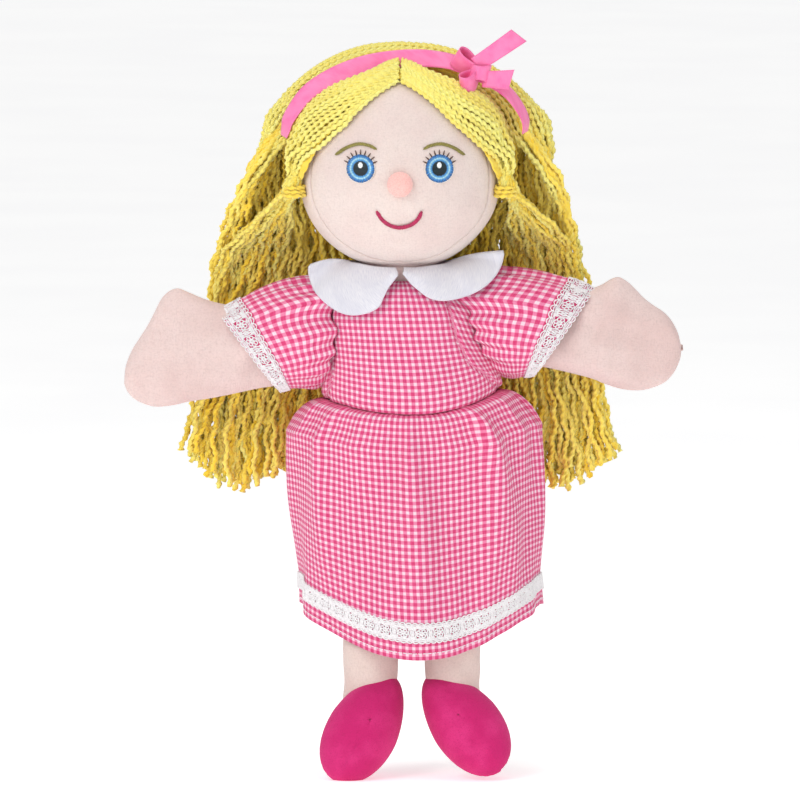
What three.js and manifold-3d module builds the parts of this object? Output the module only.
// A soft cloth glove puppet of a girl: stuffed head on a finger tube, yarn hair with a ribbon,
// a gingham dress over a glove lining, mitten hands and two stuffed legs with shoes.
// Millimetres, +Z up. The puppet faces -Y, and its own left side is +X. The origin is where the
// wrist passes through the rim of the glove. Heights in the list below are measured from a level
// rimZ under that rim, which is about where the front of the hem hangs.
import * as THREE from 'three';
import { LoftGeometry } from 'three/addons/geometries/LoftGeometry.js';
import { mergeVertices } from 'three/addons/utils/BufferGeometryUtils.js';
import Module from 'manifold-3d';

// ---- driving dimensions ----
const jerseyWall = 1.2;         // face, hands, legs and shoes
const cottonWall = 1;           // dress, sleeves, collar
const liningWall = 1;
const trimWall = 0.8;           // ribbon, lace and embroidery
const seamGap = 0.4;            // clearance kept between neighbouring pieces
const restGap = 0.3;            // clearance under a piece that lies on another
const stuffingGap = 1.1;        // clearance between the head's skin and its stuffing

const headHalfWidth = 52;
const headHalfDepth = 45;
const headTopRise = 57;
const headChinDrop = 47;
const headCentreZ = 240;
const faceSeamAngle = 64;       // degrees from straight ahead
const backSeamAngle = 116;

const fingerTubeRadius = 11.5;
const fingerTubeReach = 22;     // how far the finger goes past the middle of the head
const neckTubeFoot = 174;

const noseRadius = 6.6;
const noseDrop = 0;
const eyeSpread = 20.3;
const eyeRise = 8;
const eyeRadius = 7.2;
const browLength = 21;
const browRise = 19;
const mouthHalfWidth = 11.5;
const mouthRise = -13.5;
const mouthSag = 7.5;
const threadWidth = 1.8;

const hairSideDepth = 12;       // thickness of the hair at the ears
const hairTopDepth = 5.5;
const hairBackDepth = 9;
const hairPart = 1.2;           // half of the parting
const lockHalfWidth = 6;
const tieLength = 4.5;
const tieThickness = 1.6;
const bunchLength = 160;        // from ear level to the cut ends
const bunchHalfWidth = 27;
const bunchThickness = 15;
const curtainHalfWidth = 55;
const curtainTopHalfWidth = headHalfWidth - 10;
const curtainThickness = 13;
const hairStandOff = 13;        // clearance between the hair and the back of the arms

const ribbonWidth = 10.5;
const knotSize = 9;
const loopLength = 15;
const loopHeight = 9;
const tailUpperLength = 27;
const tailLowerLength = 18;

const neckZ = 188;
const neckHalfWidth = 19;
const neckHalfDepth = 16;
const chestZ = 165;
const chestHalfWidth = 43.5;
const chestHalfDepth = 28;
const waistZ = 122;
const waistHalfWidth = 46.5;
const waistHalfDepth = 31;
const bodyLean = 6.5;           // the waist sits this far to the puppet's left of the head
const hemLean = 5;              // and the hem this much further
const liningInset = 4;          // the lining stays this far inside the dress
const rimZ = 14;
const rimHalfWidth = 42;
const rimHalfDepth = 25;
const rimSetBack = 7;

const skirtHipRise = 12;        // the gathers reach full width this far below the waist
const skirtHipHalfWidth = 64;
const skirtHemHalfWidth = 63.5;
const skirtFrontDepth = 50;
const skirtBackDepth = 42;
const skirtGatherDepth = 6;     // how far the gathers stand out just below the waist
const hemSideZ = 17;
const hemFrontDip = 25;
const hemBackDip = 18;
const skirtLaceRise = 14;
const laceWidth = 10;

const collarInner = 31;
const collarWidth = 18;
const collarDrop = 17;          // how far the points hang below the neck
const collarSideDrop = 6;
const collarClear = 3;          // between the collar and the underside of the head

const armholeEase = 3.5;        // the armhole is this much smaller than the sleeve's head
const armholeHalfDepth = 17;
const shoulderLineZ = { left: 193.5, right: 187.5 };
const sleeveHalfHeight = 26.5;
const sleeveHalfDepth = 20;
const sleevePuff = 3;
const sleeveTopDip = 6;         // the sleeve's head follows the shoulder up to this far below the neck
const sleeveClear = 3;          // the sleeve's head stands this far off the bodice
const cuffReach = 36.5;
const cuffTilt = 22;            // degrees
const armLiningRadius = 13;
const armLiningStart = 4.5;
const armLiningEnd = 19;
const mittenStart = 34;
const mittenReach = 103;
const mittenHalfHeight = 21;
const mittenHalfDepth = 13.5;
const thumbRise = 13.5;
const thumbReach = 67;
const armPivotZ = {
  left: shoulderLineZ.left - sleeveHalfHeight,
  right: shoulderLineZ.right - sleeveHalfHeight,
};
const armTilt = { left: 8, right: 14 };

const legSpread = 21.3;
const legHalfWidth = 14.2;
const legTopZ = 12;
const legBottomZ = -33;
const legSeamHalfDepth = 3.4;
const legSetBack = -23;
const shoeSideEase = 3.8;       // the shoe is this much wider than the leg on each side
const shoeTopEase = 1.8;
const shoeToeEase = 12.8;       // and this much longer at the toe and the heel
const shoeHalfLength = legHalfWidth + shoeToeEase;
const shoeHalfWidth = legHalfWidth + shoeSideEase;
const shoeHalfHeight = legHalfWidth + shoeTopEase;
const shoePitch = 48;
const shoeSplay = 28;
const soleDrop = 5;

// ---- materials ----
function finish(hex, roughness) {
  return new THREE.MeshStandardMaterial({ color: hex, roughness, metalness: 0 });
}
const faceJersey = finish(0xe1d5d0, 0.9);
const handJersey = finish(0xe5d1cc, 0.9);
const gingham = finish(0xee7aa8, 0.85);
const whiteCotton = finish(0xe9e9ef, 0.85);
const laceThread = finish(0xf2f0f0, 0.8);
const satin = finish(0xff80b5, 0.35);
const yarn = finish(0xefe070, 0.95);
const shoeVelour = finish(0xcc2a70, 0.95);
const wadding = finish(0xf4f2ee, 1);
const liningCloth = finish(0xf0e6e2, 0.9);
const noseJersey = finish(0xf0b4ae, 0.85);
const blueThread = finish(0x3f86c8, 0.5);
const browThread = finish(0x8a7f3e, 0.6);
const mouthThread = finish(0xb52a5c, 0.6);

// ---- shape helpers ----
const fullTurn = Math.PI * 2;
const degree = Math.PI / 180;
const weldDistance = 1e-4;

// Welds a surface, drops collapsed triangles and turns its faces outwards.
function closedSolid(surface) {
  const bare = new THREE.BufferGeometry().copy(surface);
  bare.deleteAttribute('normal');
  bare.deleteAttribute('uv');
  const welded = mergeVertices(bare, weldDistance);
  const corners = welded.index.array;
  const place = welded.attributes.position;
  const kept = [];
  let volume = 0;
  const a = new THREE.Vector3();
  const b = new THREE.Vector3();
  const c = new THREE.Vector3();
  for (let i = 0; i < corners.length; i += 3) {
    const [p, q, r] = [corners[i], corners[i + 1], corners[i + 2]];
    if (p === q || q === r || r === p) continue;
    kept.push(p, q, r);
    a.fromBufferAttribute(place, p);
    b.fromBufferAttribute(place, q);
    c.fromBufferAttribute(place, r);
    volume += a.dot(b.cross(c));
  }
  if (volume < 0) kept.reverse();
  welded.setIndex(kept);
  welded.computeVertexNormals();
  return welded;
}

// A wall that goes once round an axis. at(t, turn, depth) gives its points: t runs along the wall,
// turn goes round it, and depth is 0 on the outside and 1 on the inside.
function roundWall(at, steps, sides) {
  const sections = [];
  for (let k = 0; k <= sides; k++) {
    const turn = (k % sides) / sides * fullTurn;
    const profile = [];
    for (let i = 0; i <= steps; i++) profile.push(at(i / steps, turn, 0));
    for (let i = steps; i >= 0; i--) profile.push(at(i / steps, turn, 1));
    sections.push(profile);
  }
  return closedSolid(new LoftGeometry(sections));
}

// A patch of cloth with four edges. at(u, v, depth) gives its points. The two ends in v are
// pinched to a thin edge, as a folded and pressed seam is.
function clothPatch(at, columns, rows) {
  const sections = [];
  for (let j = 0; j <= rows; j++) {
    const pinched = j === 0 || j === rows;
    const v = j / rows;
    const profile = [];
    for (let i = 0; i <= columns; i++) profile.push(at(i / columns, v, pinched ? 0.5 : 0));
    for (let i = columns; i >= 0; i--) profile.push(at(i / columns, v, pinched ? 0.5 : 1));
    sections.push(profile);
  }
  return closedSolid(new LoftGeometry(sections));
}

// The direction that a ring of points faces, by the right-hand rule.
function ringFacing(ring) {
  const facing = new THREE.Vector3();
  ring.forEach((point, i) => {
    const next = ring[(i + 1) % ring.length];
    facing.add(new THREE.Vector3().crossVectors(point, next));
  });
  return facing;
}

// A full body through rings of points, closed at both ends. The rings have to wind about the way
// that the body runs.
function fullBody(rings) {
  const run = rings[1][0].clone().sub(rings[0][0]);
  const wound = ringFacing(rings[0]).dot(run) > 0 ? rings : rings.map((ring) => [...ring].reverse());
  return closedSolid(new LoftGeometry(wound, { capStart: true, capEnd: true }));
}

function ellipseRing(centre, halfWidth, halfDepth, sides) {
  const ring = [];
  for (let k = 0; k < sides; k++) {
    const turn = k / sides * fullTurn;
    const x = centre.x + halfWidth * Math.cos(turn);
    const y = centre.y + halfDepth * Math.sin(turn);
    ring.push(new THREE.Vector3(x, y, centre.z));
  }
  return ring;
}

function blendOf(low, high, value) {
  return THREE.MathUtils.smoothstep(value, low, high);
}

// ---- boolean helpers ----
const wasm = await Module();
wasm.setup();

function toSolid(geometry) {
  const vertProperties = new Float32Array(geometry.attributes.position.array);
  const triVerts = new Uint32Array(geometry.index.array);
  return new wasm.Manifold(new wasm.Mesh({ numProp: 3, vertProperties, triVerts }));
}

function fromSolid(solid) {
  const mesh = solid.getMesh();
  const geometry = new THREE.BufferGeometry();
  geometry.setAttribute('position', new THREE.BufferAttribute(mesh.vertProperties, 3));
  geometry.setIndex(new THREE.BufferAttribute(mesh.triVerts, 1));
  geometry.computeVertexNormals();
  return geometry;
}

function cut(body, ...tools) {
  return fromSolid(tools.reduce((left, tool) => left.subtract(toSolid(tool)), toSolid(body)));
}

function join(body, other) {
  return fromSolid(toSolid(body).add(toSolid(other)));
}

function keepInside(body, region) {
  return fromSolid(toSolid(body).intersect(toSolid(region)));
}

function block(width, depth, height, centre) {
  const box = new THREE.BoxGeometry(width, depth, height);
  box.translate(centre.x, centre.y, centre.z);
  return closedSolid(box);
}

// ---- scene ----
const puppet = new THREE.Group();
const figure = new THREE.Group();
figure.position.z = -rimZ;
puppet.add(figure);
const head = new THREE.Group();
head.position.z = headCentreZ;
figure.add(head);

function add(parent, name, geometry, material) {
  const mesh = new THREE.Mesh(geometry, material);
  mesh.name = name;
  parent.add(mesh);
  return mesh;
}

// ---- head, in its own frame: origin in the middle of the head ----
// A point of the head's skin, moved out by a distance. away is the angle from straight ahead
// and turn goes round the line of sight.
function headPoint(away, turn, out) {
  const side = Math.sin(away) * Math.cos(turn);
  const rise = Math.sin(away) * Math.sin(turn);
  const tall = (rise > 0 ? headTopRise : headChinDrop) + out;
  const x = (headHalfWidth + out) * side;
  const y = -(headHalfDepth + out) * Math.cos(away);
  return new THREE.Vector3(x, y, tall * rise);
}

// The skin straight behind a place on the front of the face.
function onFace(x, z, out) {
  const tall = (z > 0 ? headTopRise : headChinDrop) + out;
  const flat = 1 - (x / (headHalfWidth + out)) ** 2 - (z / tall) ** 2;
  return new THREE.Vector3(x, -(headHalfDepth + out) * Math.sqrt(Math.max(flat, 0)), z);
}

function headPanel(fromAngle, toAngle, steps) {
  const at = (t, turn, depth) => {
    const away = THREE.MathUtils.lerp(fromAngle, toAngle, t) * degree;
    return headPoint(away, turn, -jerseyWall * depth);
  };
  return roundWall(at, steps, 22);
}

const panelGapAngle = seamGap / headHalfWidth / degree;
const facePanel = headPanel(0, faceSeamAngle - panelGapAngle, 5);
const backPanel = headPanel(180, backSeamAngle + panelGapAngle, 4);
const neckHoleRadius = fingerTubeRadius + 2;
const neckHole = new THREE.CylinderGeometry(neckHoleRadius, neckHoleRadius, headChinDrop * 2, 16);
neckHole.rotateX(Math.PI / 2);
neckHole.translate(0, 0, -headChinDrop);
const sideGusset = cut(headPanel(faceSeamAngle, backSeamAngle, 4), closedSolid(neckHole));
add(head, 'face_panel', facePanel, faceJersey);
add(head, 'head_side_gusset', sideGusset, faceJersey);
add(head, 'head_back_panel', backPanel, faceJersey);

const fill = roundWall((t, turn, depth) => {
  const skinDepth = -(jerseyWall + stuffingGap);
  const point = headPoint(t * Math.PI, turn, skinDepth);
  return depth ? new THREE.Vector3(0, point.y, 0) : point;
}, 10, 18);
const pocket = new THREE.CylinderGeometry(
  fingerTubeRadius + seamGap, fingerTubeRadius + seamGap, headChinDrop + fingerTubeReach + 10, 16);
pocket.rotateX(Math.PI / 2);
pocket.translate(0, 0, (fingerTubeReach + seamGap * 2) - (headChinDrop + fingerTubeReach + 10) / 2);
add(head, 'head_stuffing', cut(fill, closedSolid(pocket)), wadding);

// The finger tube is sewn shut at its top and open below.
const tubeProfile = [
  new THREE.Vector2(0, fingerTubeReach),
  new THREE.Vector2(fingerTubeRadius * 0.7, fingerTubeReach - 1.5),
  new THREE.Vector2(fingerTubeRadius, fingerTubeReach - 7),
  new THREE.Vector2(fingerTubeRadius, neckTubeFoot - headCentreZ),
  new THREE.Vector2(fingerTubeRadius - liningWall, neckTubeFoot - headCentreZ),
  new THREE.Vector2(fingerTubeRadius - liningWall, fingerTubeReach - 7.5),
  new THREE.Vector2(fingerTubeRadius * 0.65, fingerTubeReach - 2.5),
  new THREE.Vector2(0, fingerTubeReach - liningWall),
];
const fingerTube = new THREE.LatheGeometry(tubeProfile, 16);
fingerTube.rotateX(Math.PI / 2);
add(head, 'neck_finger_tube', closedSolid(fingerTube), liningCloth);

// ---- face features ----
const noseCentreZ = noseDrop;
const nose = new THREE.SphereGeometry(noseRadius, 14, 10);
nose.scale(1, 0.62, 1);
const noseOut = noseRadius * 0.36;
const noseSpot = onFace(0, noseCentreZ, noseOut);
nose.translate(noseSpot.x, noseSpot.y, noseSpot.z);
const faceClear = roundWall((t, turn, depth) => {
  const point = headPoint(t * Math.PI / 2, turn, restGap + 0.2);
  return depth ? new THREE.Vector3(0, point.y * 0.2, 0) : point;
}, 8, 24);
add(head, 'nose_button', cut(closedSolid(nose), faceClear), noseJersey);

// A round patch of embroidery that follows the skin.
function stitchedDisc(x, z, radius) {
  return roundWall((t, turn, depth) => {
    const reach = radius * t;
    const out = restGap + trimWall * (1 - depth);
    return onFace(x + reach * Math.cos(turn), z + reach * Math.sin(turn), out);
  }, 2, 16);
}

// A line of embroidery along a curve on the skin.
function stitchedLine(curve, steps) {
  const sections = [];
  for (let i = 0; i <= steps; i++) {
    const spot = curve.getPoint(i / steps);
    const along = curve.getTangent(i / steps);
    const half = threadWidth / 2 * (i === 0 || i === steps ? 0.5 : 1);
    const side = new THREE.Vector2(-along.y, along.x).multiplyScalar(half);
    sections.push([
      onFace(spot.x + side.x, spot.y + side.y, restGap + trimWall),
      onFace(spot.x + side.x, spot.y + side.y, restGap),
      onFace(spot.x - side.x, spot.y - side.y, restGap),
      onFace(spot.x - side.x, spot.y - side.y, restGap + trimWall),
    ]);
  }
  return fullBody(sections);
}

for (const [side, sign] of [['left', 1], ['right', -1]]) {
  add(head, `eye_${side}`, stitchedDisc(sign * eyeSpread, eyeRise, eyeRadius), blueThread);
  const inner = sign * (eyeSpread - browLength * 0.4);
  const outer = sign * (eyeSpread + browLength * 0.6);
  const brow = new THREE.QuadraticBezierCurve(
    new THREE.Vector2(inner, browRise),
    new THREE.Vector2(sign * (eyeSpread - 1), browRise + 7),
    new THREE.Vector2(outer, browRise - 4));
  add(head, `eyebrow_${side}`, stitchedLine(brow, 6), browThread);
}
const smile = new THREE.QuadraticBezierCurve(
  new THREE.Vector2(-mouthHalfWidth, mouthRise),
  new THREE.Vector2(0, mouthRise - mouthSag * 2),
  new THREE.Vector2(mouthHalfWidth, mouthRise));
add(head, 'mouth_stitch', stitchedLine(smile, 10), mouthThread);

// ---- hair on the head ----
// lift is the angle up from straight ahead and over the top; swing goes from the parting to the ear.
function hairPoint(lift, swing, share, out) {
  const side = headHalfWidth + out + hairSideDepth * share;
  const deep = headHalfDepth + out + hairBackDepth * share;
  const tall = headTopRise + out + hairTopDepth * share;
  const x = side * Math.sin(swing);
  const y = -deep * Math.cos(swing) * Math.cos(lift);
  return new THREE.Vector3(x, y, tall * Math.cos(swing) * Math.sin(lift));
}

const hairFloor = restGap + 0.9;
const bandLift = 84 * degree;
const earSwing = 74 * degree;
for (const [side, sign] of [['left', 1], ['right', -1]]) {
  const frontHair = clothPatch((u, v, depth) => {
    const swing = THREE.MathUtils.lerp(hairPart / headHalfWidth, earSwing, v);
    const hairline = THREE.MathUtils.lerp(70, 20, v) * degree;
    const lift = THREE.MathUtils.lerp(hairline, 100 * degree, u);
    const point = hairPoint(lift, swing, 1 - depth, hairFloor);
    point.x *= sign;
    return point;
  }, 5, 7);
  add(head, `hair_front_${side}`, frontHair, yarn);
}
const crownGap = 101.5 * degree;
const crown = clothPatch((u, v, depth) => {
  const swing = THREE.MathUtils.lerp(-earSwing, earSwing, v);
  const lift = THREE.MathUtils.lerp(crownGap, 188 * degree, u);
  return hairPoint(lift, swing, 1 - depth, hairFloor);
}, 6, 10);
add(head, 'hair_crown', crown, yarn);

// At each ear the front hair is gathered into a lock, and a tie holds it.
const lockX = headHalfWidth + 10;
const lockY = -7;
const lockTopZ = 2;
const lockEndZ = -36;
for (const [side, sign] of [['left', 1], ['right', -1]]) {
  const rings = [];
  for (let i = 0; i <= 5; i++) {
    const t = i / 5;
    const waist = 1 - 0.42 * Math.exp(-(((t - 0.3) / 0.16) ** 2));
    const centre = new THREE.Vector3(
      sign * (lockX + 3 * t), lockY, THREE.MathUtils.lerp(lockTopZ, lockEndZ, t));
    rings.push(ellipseRing(centre, lockHalfWidth * waist, lockHalfWidth * waist, 10));
  }
  add(head, `hair_lock_${side}`, fullBody(rings), yarn);
  const bore = lockHalfWidth + seamGap;
  const tieProfile = [
    new THREE.Vector2(bore, -tieLength / 2),
    new THREE.Vector2(bore + tieThickness, -tieLength / 2),
    new THREE.Vector2(bore + tieThickness, tieLength / 2),
    new THREE.Vector2(bore, tieLength / 2),
    new THREE.Vector2(bore, -tieLength / 2),
  ];
  const tie = new THREE.LatheGeometry(tieProfile, 14);
  tie.rotateX(Math.PI / 2);
  const tieMesh = add(head, `hair_tie_${side}`, closedSolid(tie), yarn);
  tieMesh.position.set(sign * (lockX + 0.9), lockY, THREE.MathUtils.lerp(lockTopZ, lockEndZ, 0.3));
}

// ---- loose hair, in the puppet's frame ----
const hairBackY = armholeHalfDepth + 8 + hairStandOff;
const hairTopZ = headCentreZ + 42;
const hairEndZ = headCentreZ - bunchLength;

// How far out the hair on the head reaches at a height above its middle and a depth.
function hairReach(rise, y) {
  const tall = headTopRise + hairTopDepth + hairFloor;
  const deep = headHalfDepth + hairBackDepth + hairFloor;
  const flat = 1 - (Math.max(rise, 0) / tall) ** 2 - (y / deep) ** 2;
  return (headHalfWidth + hairSideDepth + hairFloor) * Math.sqrt(Math.max(flat, 0));
}

for (const [side, sign] of [['left', 1], ['right', -1]]) {
  const rings = [];
  const steps = 9;
  for (let i = 0; i <= steps; i++) {
    const t = i / steps;
    const z = THREE.MathUtils.lerp(hairTopZ, hairEndZ, t);
    const fall = blendOf(0.12, 0.55, t);
    const halfWidth = THREE.MathUtils.lerp(6, bunchHalfWidth, blendOf(0, 0.95, t));
    const y = THREE.MathUtils.lerp(16, hairBackY + bunchThickness / 2, fall);
    const halfDepth = THREE.MathUtils.lerp(9, bunchThickness / 2, fall);
    const onHead = hairReach(z - headCentreZ, y - halfDepth * 0.5) + 2;
    const inner = THREE.MathUtils.lerp(onHead, curtainHalfWidth + 3, blendOf(0.3, 0.7, t));
    rings.push(ellipseRing(new THREE.Vector3(sign * (inner + halfWidth), y, z), halfWidth, halfDepth, 10));
  }
  add(figure, `hair_bunch_${side}`, fullBody(rings), yarn);
}
const curtainTopY = headHalfDepth + hairBackDepth + hairFloor + seamGap + 1;
const curtainRings = [];
for (let i = 0; i <= 6; i++) {
  const t = i / 6;
  const z = THREE.MathUtils.lerp(headCentreZ + 20, hairEndZ, t);
  const back = THREE.MathUtils.lerp(curtainTopY, hairBackY + 2, blendOf(0.15, 0.6, t));
  const halfWidth = THREE.MathUtils.lerp(curtainTopHalfWidth, curtainHalfWidth, blendOf(0, 0.4, t));
  const centre = new THREE.Vector3(0, back + curtainThickness / 2, z);
  curtainRings.push(ellipseRing(centre, halfWidth, curtainThickness / 2, 12));
}
add(figure, 'hair_back_curtain', fullBody(curtainRings), yarn);

// ---- ribbon, on the head ----
const bandSide = headHalfWidth + hairSideDepth + hairFloor + restGap + 0.8;
const bandTop = headTopRise + hairTopDepth + hairFloor + restGap + 0.8;
const bandDeep = headHalfDepth + hairBackDepth + hairFloor;
const band = clothPatch((u, v, depth) => {
  const swing = THREE.MathUtils.lerp(-66, 66, v) * degree;
  const lift = bandLift;
  const out = trimWall * (1 - depth);
  const x = (bandSide + out) * Math.sin(swing);
  const y = -bandDeep * Math.cos(swing) * Math.cos(lift) + (u - 0.5) * ribbonWidth;
  return new THREE.Vector3(x, y, (bandTop + out) * Math.cos(swing) * Math.sin(lift));
}, 1, 16);
add(head, 'ribbon_band', band, satin);

// The bow sits on the band. In its frame Z stands off the hair, X runs down the band towards the
// ear and -Y points at the forehead.
const bowSwing = 39 * degree;
const bowForward = 3;
const bow = new THREE.Group();
bow.position.set(
  (bandSide + trimWall) * Math.sin(bowSwing),
  -bandDeep * Math.cos(bowSwing) * Math.cos(bandLift) - bowForward,
  (bandTop + trimWall) * Math.cos(bowSwing));
bow.rotation.y = bowSwing;
head.add(bow);
const knotCentreZ = knotSize / 2 + restGap + 0.4;
const knot = new THREE.CapsuleGeometry(knotSize / 2 - 0.5, ribbonWidth * 0.35, 3, 10);
const knotMesh = add(bow, 'ribbon_knot', closedSolid(knot), satin);
knotMesh.position.z = knotCentreZ;

// A loop is a ribbon bent back on itself, open through its eye.
function ribbonLoop() {
  const far = loopLength;
  const high = loopHeight * 0.6;
  const shape = new THREE.Shape();
  shape.moveTo(0, -1.6);
  shape.bezierCurveTo(far * 0.5, -high, far, -high, far, 0);
  shape.bezierCurveTo(far, high, far * 0.5, high, 0, 1.6);
  const eye = new THREE.Path();
  const wall = trimWall;
  eye.moveTo(wall, -0.5);
  eye.bezierCurveTo(far * 0.5, wall * 2 - high, far - wall, wall - high, far - wall, 0);
  eye.bezierCurveTo(far - wall, high - wall, far * 0.5, high - wall * 2, wall, 0.5);
  shape.holes.push(eye);
  const width = ribbonWidth * 0.85;
  const options = { depth: width, bevelEnabled: false, curveSegments: 6 };
  const geometry = new THREE.ExtrudeGeometry(shape, options);
  geometry.translate(0, 0, -width / 2);
  geometry.rotateX(Math.PI / 2);
  return closedSolid(geometry);
}
const loopStart = knotSize / 2 + restGap + 0.2;
for (const [name, heading, dip] of [['upper', 180, -24], ['lower', 256, 6]]) {
  const loop = add(bow, `ribbon_loop_${name}`, ribbonLoop(), satin);
  const start = name === 'lower' ? loopStart + ribbonWidth * 0.25 : loopStart;
  loop.rotation.order = 'ZYX';
  loop.rotation.z = heading * degree;
  loop.rotation.y = dip * degree;
  loop.position.set(
    start * Math.cos(heading * degree), start * Math.sin(heading * degree), knotCentreZ + 1.2);
}

// A tail is a flat strip with a slanted end that lifts off the knot.
function ribbonTail(length) {
  const shape = new THREE.Shape();
  shape.moveTo(0, -ribbonWidth / 2);
  shape.lineTo(length, -ribbonWidth / 2);
  shape.lineTo(length + ribbonWidth * 0.4, ribbonWidth / 2);
  shape.lineTo(0, ribbonWidth / 2);
  shape.closePath();
  const geometry = new THREE.ExtrudeGeometry(shape, { depth: trimWall, bevelEnabled: false });
  geometry.translate(0, 0, -trimWall / 2);
  geometry.rotateX(0.5);
  return closedSolid(geometry);
}
const tails = [['upper', 72, tailUpperLength], ['lower', 28, tailLowerLength]];
for (const [name, rise, length] of tails) {
  const tail = add(bow, `ribbon_tail_${name}`, ribbonTail(length), satin);
  const start = loopStart + ribbonWidth * 0.3;
  tail.rotation.y = -rise * degree;
  tail.position.set(
    start * Math.cos(rise * degree), 0, knotCentreZ + start * Math.sin(rise * degree));
}

// ---- body ----
function bodyCentreX(z) {
  const below = Math.max(0, (waistZ - z) / waistZ);
  return bodyLean * (1 - blendOf(waistZ, neckZ, z)) + hemLean * Math.min(below, 1.3);
}

// Half width and half depth of the dress's bodice at a height.
function bodiceSize(z) {
  if (z <= chestZ) {
    const t = blendOf(waistZ, chestZ, z);
    return [
      THREE.MathUtils.lerp(waistHalfWidth, chestHalfWidth, t),
      THREE.MathUtils.lerp(waistHalfDepth, chestHalfDepth, t)];
  }
  const rise = Math.min((z - chestZ) / (neckZ - chestZ), 1);
  const t = Math.sqrt(1 - rise * rise);
  return [
    THREE.MathUtils.lerp(neckHalfWidth, chestHalfWidth, t),
    THREE.MathUtils.lerp(neckHalfDepth, chestHalfDepth, t)];
}

// Heights for the bodice: evenly spaced below the chest, then bunched towards the neck.
function bodiceHeight(t) {
  if (t < 0.4) return THREE.MathUtils.lerp(waistZ, chestZ, t / 0.4);
  return chestZ + (neckZ - chestZ) * Math.sin((t - 0.4) / 0.6 * Math.PI / 2);
}

// The middle of the shoulder, on the side of the bodice.
function shoulderX(side) {
  const sign = side === 'left' ? 1 : -1;
  return bodyCentreX(armPivotZ[side]) + sign * bodiceSize(armPivotZ[side])[0];
}

const armholes = [];
for (const side of ['left', 'right']) {
  const hole = new THREE.CylinderGeometry(1, 1, chestHalfWidth * 0.9, 20);
  hole.scale(sleeveHalfHeight - armholeEase, 1, armholeHalfDepth);
  hole.rotateZ(Math.PI / 2);
  hole.translate(shoulderX(side), 0, armPivotZ[side] - 2);
  armholes.push(closedSolid(hole));
}

const bodiceShell = roundWall((t, turn, depth) => {
  const z = bodiceHeight(t);
  const [w, d] = bodiceSize(z);
  const inset = cottonWall * depth;
  return new THREE.Vector3(
    bodyCentreX(z) + (w - inset) * Math.cos(turn), (d - inset) * Math.sin(turn), z - inset * 0.3 * t);
}, 6, 22);
const bodiceWhole = cut(bodiceShell, ...armholes);
const halfSpace = 200;
for (const [name, sign] of [['front', -1], ['back', 1]]) {
  const centre = new THREE.Vector3(0, sign * (halfSpace / 2 + seamGap / 2), neckZ - 20);
  const region = block(halfSpace, halfSpace, halfSpace, centre);
  add(figure, `bodice_${name}`, keepInside(bodiceWhole, region), gingham);
}

// The lining is the glove itself: open at the bottom for the hand, at the neck and at the arms.
const liningTopZ = neckZ - 3;
const liningShell = roundWall((t, turn, depth) => {
  const z = THREE.MathUtils.lerp(rimZ, liningTopZ, t);
  const [w, d] = bodiceSize(Math.max(z, waistZ));
  const foot = 1 - blendOf(rimZ, waistZ, z);
  const inset = liningInset * 0.75 + liningWall * depth;
  const halfWidth = THREE.MathUtils.lerp(w - inset, rimHalfWidth - liningWall * depth, foot);
  const halfDepth = THREE.MathUtils.lerp(d - inset, rimHalfDepth - liningWall * depth, foot);
  const x = bodyCentreX(z) + halfWidth * Math.cos(turn);
  return new THREE.Vector3(x, rimSetBack * foot + halfDepth * Math.sin(turn), z);
}, 8, 22);
const armPassages = [];
for (const side of ['left', 'right']) {
  const holeRadius = armLiningRadius - 1;
  const hole = new THREE.CylinderGeometry(holeRadius, holeRadius, chestHalfWidth * 0.9, 16);
  hole.rotateZ(Math.PI / 2);
  hole.translate(shoulderX(side), 0, armPivotZ[side]);
  armPassages.push(closedSolid(hole));
}
add(figure, 'body_lining', cut(liningShell, ...armPassages), liningCloth);

// ---- collar ----
// The underside of the head over a place on the body.
function headUnderside(x, y) {
  const flat = 1 - (x / headHalfWidth) ** 2 - (y / headHalfDepth) ** 2;
  return headCentreZ - headChinDrop * Math.sqrt(Math.max(flat, 0));
}

// Each half lies on the bodice at the front and back, and over the top of the sleeve at the side.
for (const [side, sign] of [['left', 1], ['right', -1]]) {
  const sleeveTopZ = armPivotZ[side] + sleeveHalfHeight + sleevePuff;
  const collar = clothPatch((u, v, depth) => {
    const round = THREE.MathUtils.lerp(4, 176, v) * degree;
    const sideways = Math.sin(round) ** 2;
    const full = Math.min(1, Math.sin(round) * 2.4);
    const outerZ = THREE.MathUtils.lerp(neckZ - collarDrop * full, sleeveTopZ + 1.8, sideways ** 1.2);
    const innerZ = THREE.MathUtils.lerp(neckZ + 2, sleeveTopZ + 1.8 + collarSideDrop, sideways);
    const chinZ = headUnderside(collarInner * Math.sin(round), collarInner * 0.6 * Math.cos(round));
    const z = THREE.MathUtils.lerp(Math.min(innerZ, chinZ - collarClear), outerZ, u);
    const [w, d] = bodiceSize(THREE.MathUtils.clamp(z, waistZ, neckZ));
    const lift = seamGap + 1.2 + cottonWall * (1 - depth);
    const reach = collarInner + collarWidth * u * (0.4 + 0.6 * full);
    const x = sign * Math.max(w + lift, reach) * Math.sin(round) + bodyCentreX(z);
    const y = -Math.max(d + lift, reach * 0.6) * Math.cos(round);
    return new THREE.Vector3(x, y, z + cottonWall * (1 - depth));
  }, 3, 12);
  add(figure, `collar_${side}`, collar, whiteCotton);
}

// ---- skirt ----
function hemZ(turn) {
  const front = Math.max(0, -Math.sin(turn));
  const back = Math.max(0, Math.sin(turn));
  return hemSideZ - hemFrontDip * front * front - hemBackDip * back * back;
}

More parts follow.
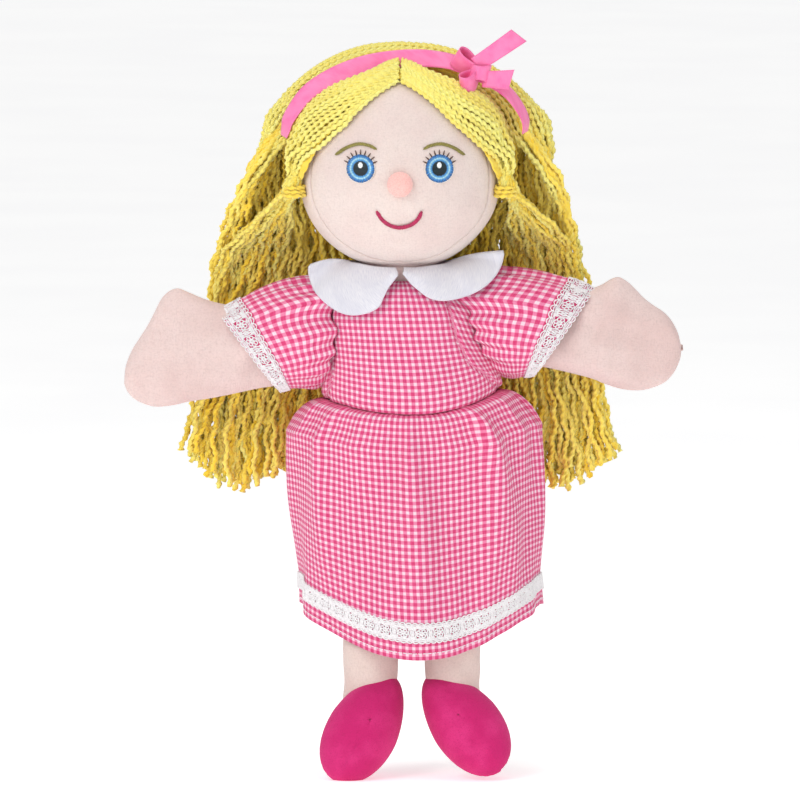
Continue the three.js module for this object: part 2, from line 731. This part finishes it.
// A point of the skirt: t runs from the waist to the hem.
function skirtPoint(t, turn, out) {
  const z = THREE.MathUtils.lerp(waistZ - seamGap, hemZ(turn), t);
  const hip = Math.sqrt(Math.min(1, t * waistZ / skirtHipRise / 1.6));
  const flare = blendOf(0.1, 1, t);
  const widest = THREE.MathUtils.lerp(skirtHipHalfWidth, skirtHemHalfWidth, flare);
  const w = THREE.MathUtils.lerp(waistHalfWidth, widest, hip);
  const hemDeep = Math.sin(turn) < 0 ? skirtFrontDepth : skirtBackDepth;
  const hipDeep = THREE.MathUtils.lerp(waistHalfDepth + skirtGatherDepth, hemDeep, flare);
  const d = THREE.MathUtils.lerp(waistHalfDepth, hipDeep, hip);
  return new THREE.Vector3(
    bodyCentreX(z) + (w + out) * Math.cos(turn), (d + out) * Math.sin(turn), z);
}
const skirtCloth = roundWall((t, turn, depth) => skirtPoint(t, turn, -cottonWall * depth), 7, 24);
add(figure, 'skirt', skirtCloth, gingham);

const skirtLength = waistZ - hemSideZ + hemFrontDip;
const laceLow = 1 - (skirtLaceRise - laceWidth / 2) / skirtLength;
const laceHigh = 1 - (skirtLaceRise + laceWidth / 2) / skirtLength;
const skirtLace = roundWall((t, turn, depth) => {
  const along = THREE.MathUtils.lerp(laceHigh, laceLow, t);
  return skirtPoint(along, turn, seamGap + 0.3 + trimWall * (1 - depth));
}, 1, 24);
add(figure, 'skirt_lace', skirtLace, laceThread);

// ---- arms: each has its own frame, with its origin at the shoulder and X along the arm ----
for (const [side, sign] of [['left', 1], ['right', -1]]) {
  const tilt = armTilt[side] * degree;
  const pivotX = shoulderX(side);
  const pivotZ = armPivotZ[side];
  const arm = new THREE.Group();
  arm.position.set(pivotX, 0, pivotZ);
  arm.rotation.y = sign * tilt;
  figure.add(arm);
  const place = (along, y, rise) => new THREE.Vector3(sign * along, y, rise);

  // Where the sleeve meets the bodice: just outside the bodice's skin at that height and depth.
  const rootAlong = (y, rise) => {
    let along = 0;
    for (let i = 0; i < 3; i++) {
      const z = pivotZ + rise * Math.cos(tilt) - along * Math.sin(tilt);
      const [w, d] = bodiceSize(THREE.MathUtils.clamp(z, waistZ, neckZ - sleeveTopDip));
      const flank = w * Math.sqrt(Math.max(0, 1 - (y / d) ** 2));
      const x = bodyCentreX(z) + sign * (flank + sleeveClear);
      along = ((x - pivotX) * sign - rise * Math.sin(tilt)) / Math.cos(tilt);
    }
    return along;
  };
  const cuffAlong = (rise) => cuffReach + rise * Math.tan(cuffTilt * degree);
  const sleeveAt = (t, turn, inset) => {
    const puff = sleevePuff * Math.sin(Math.PI * Math.min(1, t * 1.15));
    const high = (sleeveHalfHeight + puff - t * 1.5 - inset) * Math.sin(turn);
    const deep = (sleeveHalfDepth * (t < 0.01 ? 0.9 : 1) + puff - inset) * Math.cos(turn);
    const root = rootAlong(deep, high);
    return place(THREE.MathUtils.lerp(root, cuffAlong(high), t), deep, high - 1);
  };
  const sleeve = roundWall((t, turn, depth) => sleeveAt(t, turn, cottonWall * depth), 4, 16);
  add(arm, `sleeve_${side}`, sleeve, gingham);

  const laceFrom = 1 - laceWidth / (cuffReach + 3.5);
  const lace = roundWall((t, turn, depth) => {
    const along = THREE.MathUtils.lerp(laceFrom, 1, t);
    return sleeveAt(along, turn, -(seamGap + 0.3 + trimWall * (1 - depth)));
  }, 1, 16);
  add(arm, `sleeve_lace_${side}`, lace, laceThread);

  const tube = roundWall((t, turn, depth) => {
    const radius = armLiningRadius - liningWall * depth;
    const along = THREE.MathUtils.lerp(armLiningStart, armLiningEnd, t);
    return place(along, radius * Math.cos(turn), radius * Math.sin(turn));
  }, 1, 14);
  add(arm, `arm_lining_${side}`, tube, liningCloth);

  const mitten = roundWall((t, turn, depth) => {
    const tip = Math.sqrt(Math.max(0, 1 - t ** 5));
    const inset = jerseyWall * depth;
    const along = THREE.MathUtils.lerp(mittenStart, mittenReach - inset, t);
    const thumb = thumbRise * Math.exp(-(((along - thumbReach) / 11) ** 2));
    const droop = -14 * t ** 3 + 3;
    const up = Math.max(0, Math.sin(turn));
    const halfHigh = Math.max(0, mittenHalfHeight - 1.5 * (1 - t) - inset) * tip;
    const high = halfHigh * Math.sin(turn) + thumb * up * up + droop * t;
    const deep = Math.max(0, mittenHalfDepth - inset) * tip * Math.cos(turn);
    return place(along, deep, high);
  }, 8, 14);
  add(arm, `hand_${side}`, mitten, handJersey);
}

// ---- legs: each has its own frame, with its origin under the hip seam ----
function egg(halfLength, halfWidth, halfHeight) {
  const shape = new THREE.SphereGeometry(1, 14, 9);
  shape.scale(halfWidth, halfLength, halfHeight);
  return closedSolid(shape);
}

for (const [side, sign] of [['left', 1], ['right', -1]]) {
  const leg = new THREE.Group();
  leg.position.set(bodyCentreX(legTopZ) - hemLean + sign * legSpread, legSetBack, 0);
  figure.add(leg);
  const legSize = (z, inset) => {
    const open = 1 - blendOf(legTopZ - 13, legTopZ, z);
    const w = legHalfWidth - inset;
    return [w, THREE.MathUtils.lerp(legSeamHalfDepth - inset, legHalfWidth - 1 - inset, open)];
  };
  const skin = roundWall((t, turn, depth) => {
    const z = THREE.MathUtils.lerp(legTopZ, legBottomZ, t);
    const [w, d] = legSize(z, jerseyWall * depth);
    return new THREE.Vector3(w * Math.cos(turn), d * Math.sin(turn), z);
  }, 4, 14);
  add(leg, `leg_${side}`, skin, handJersey);

  // The shoe is a stuffed drop with its toe down and out.
  const splay = sign * shoeSplay * degree;
  const shoeTurn = new THREE.Euler(shoePitch * degree, -0.6 * splay, splay);
  const shoeCentre = new THREE.Vector3(sign * 7, -8, legBottomZ - 13.5);
  const posed = (geometry) => {
    const turned = geometry.clone();
    turned.applyMatrix4(new THREE.Matrix4().makeRotationFromEuler(shoeTurn));
    turned.translate(shoeCentre.x, shoeCentre.y, shoeCentre.z);
    return turned;
  };
  const outer = posed(egg(shoeHalfLength, shoeHalfWidth, shoeHalfHeight));
  const hollow = posed(egg(
    shoeHalfLength - jerseyWall, shoeHalfWidth - jerseyWall, shoeHalfHeight - jerseyWall));
  const fillInset = jerseyWall + seamGap;
  const fillEgg = posed(egg(
    shoeHalfLength - fillInset, shoeHalfWidth - fillInset, shoeHalfHeight - fillInset));
  const shaft = new THREE.CylinderGeometry(legHalfWidth + seamGap, legHalfWidth + seamGap, 30, 16);
  shaft.rotateX(Math.PI / 2);
  shaft.translate(0, 0, legBottomZ - seamGap + 15);
  const ankle = new THREE.CylinderGeometry(legHalfWidth - 0.8, legHalfWidth - 0.8, 60, 16);
  ankle.rotateX(Math.PI / 2);
  ankle.translate(0, 0, legBottomZ + 25);
  const shell = cut(outer, hollow, closedSolid(shaft), closedSolid(ankle));
  const above = posed(block(90, 90, 60, new THREE.Vector3(0, 0, 30 - soleDrop + seamGap / 2)));
  const below = posed(block(90, 90, 60, new THREE.Vector3(0, 0, -30 - soleDrop - seamGap / 2)));
  add(leg, `shoe_upper_${side}`, keepInside(shell, above), shoeVelour);
  add(leg, `shoe_sole_${side}`, keepInside(shell, below), shoeVelour);

  const core = [];
  for (let i = 0; i <= 5; i++) {
    const z = i === 0 ? legTopZ - 0.5 : THREE.MathUtils.lerp(legTopZ, legBottomZ, i / 4);
    const taper = i === 5 ? 0.7 : 1;
    const [w, d] = legSize(Math.max(z, legBottomZ), fillInset);
    core.push(ellipseRing(new THREE.Vector3(0, 0, z), w * taper, d * taper, 14));
  }
  const footFill = cut(fillEgg, closedSolid(shaft));
  add(leg, `leg_stuffing_${side}`, join(fullBody(core), footFill), wadding);
}

export default puppet;
